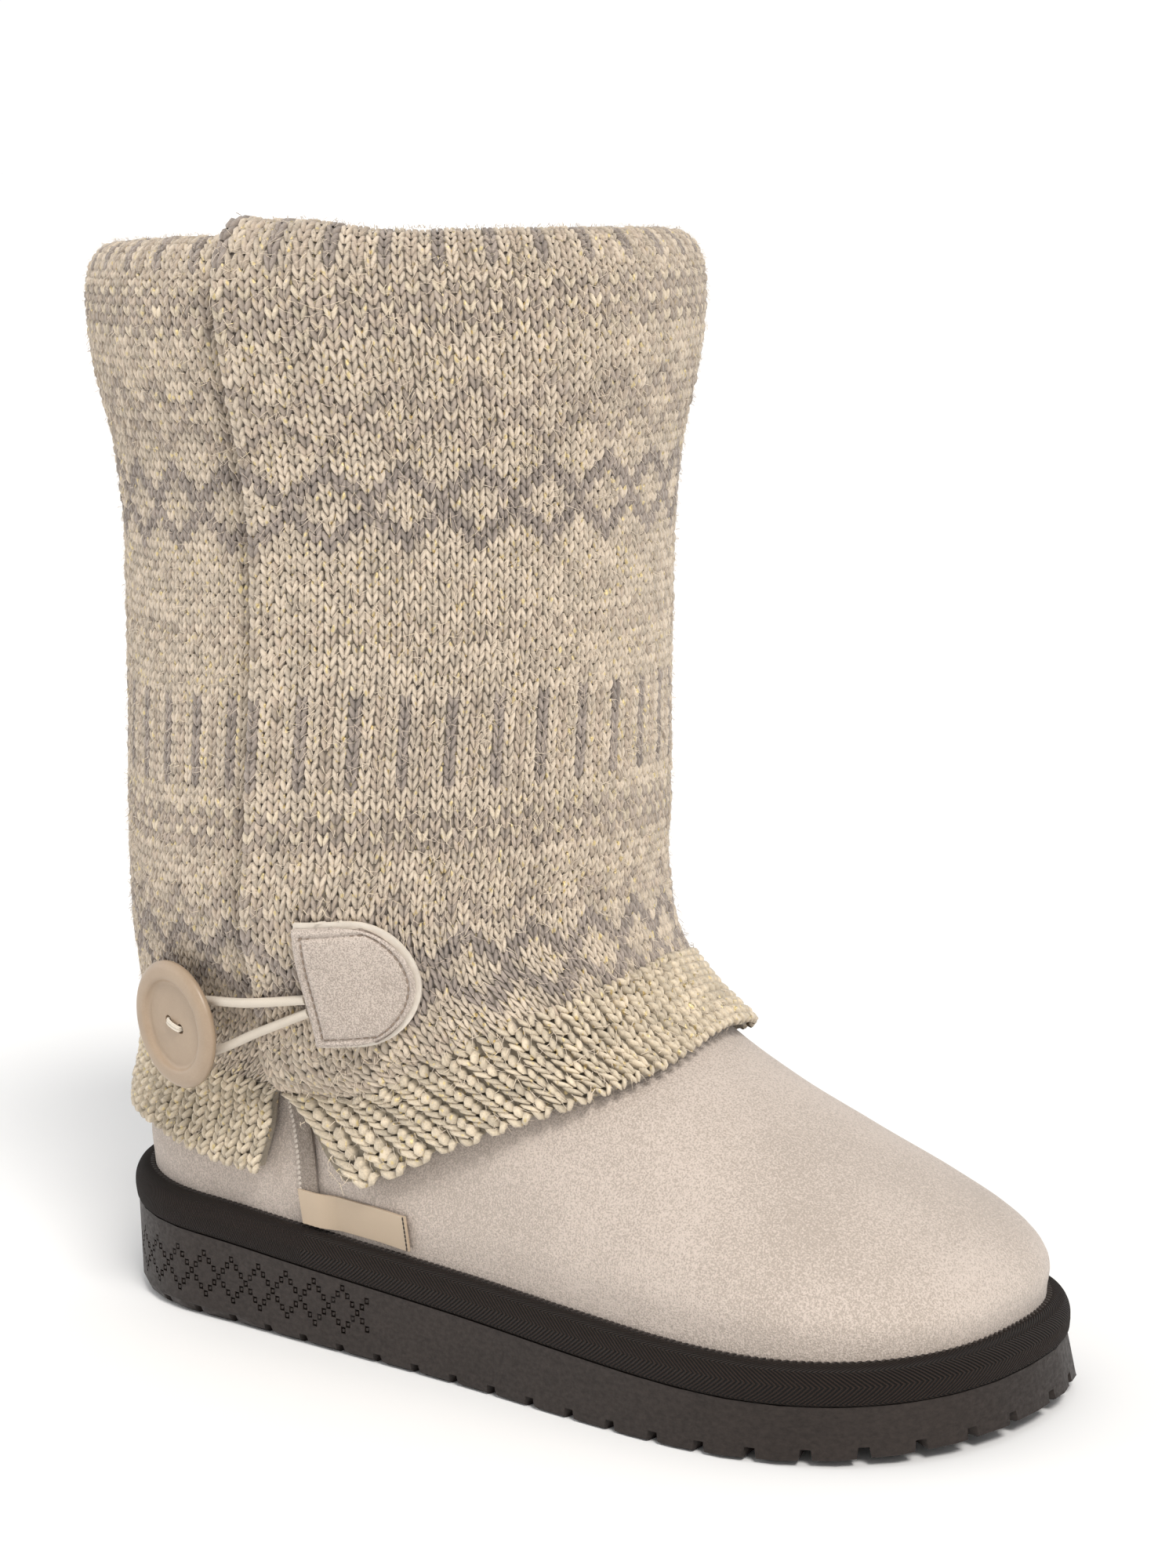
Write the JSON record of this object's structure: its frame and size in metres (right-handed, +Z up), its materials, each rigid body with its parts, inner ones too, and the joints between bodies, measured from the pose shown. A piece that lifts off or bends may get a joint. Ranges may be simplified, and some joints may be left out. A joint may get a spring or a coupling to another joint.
{
  "type": "mukluk boot",
  "caption": "Right mukluk boot: hollow suede foot and shaft on a lugged platform sole, with a turned-down knit cuff held by a button and an elastic loop.",
  "frame": {"origin": "on the ground plane under the heel, 35.1 mm in front of the sole's rearmost edge", "axes": "+X from heel to toe, +Y to the inner side of the foot, +Z up"},
  "size_m": [0.2726, 0.1432, 0.2856],
  "materials": {
    "outsole_rubber": "moulded with a fine leather-like grain, satin",
    "binding_tape": "dark herringbone twill tape",
    "insole_fleece": "short fleece",
    "upper_suede": "faux suede with a short nap, fleece lined",
    "strip_suede": "faux suede with a short nap",
    "knit": "jacquard stocking stitch with a ribbed hem, slightly fuzzy, a few metallic yarns",
    "tab_backing": "smooth",
    "tab_suede": "faux suede with a short nap",
    "elastic": "braided round elastic",
    "button_resin": "satin moulded resin",
    "thread": "twisted sewing thread",
    "label_satin": "woven satin, blank"
  },
  "bodies": {
    "root": {"outsole": "outsole_rubber", "platform_binding": "binding_tape", "insole": "insole_fleece", "upper": "upper_suede", "outer_seam_strip": "strip_suede", "inner_seam_strip": "strip_suede", "knit_cuff": "knit", "tab_backing": "tab_backing", "tab": "tab_suede", "elastic_loop": "elastic", "button": "button_resin", "button_thread": "thread", "side_label": "label_satin"}
  },
  "joints": []
}
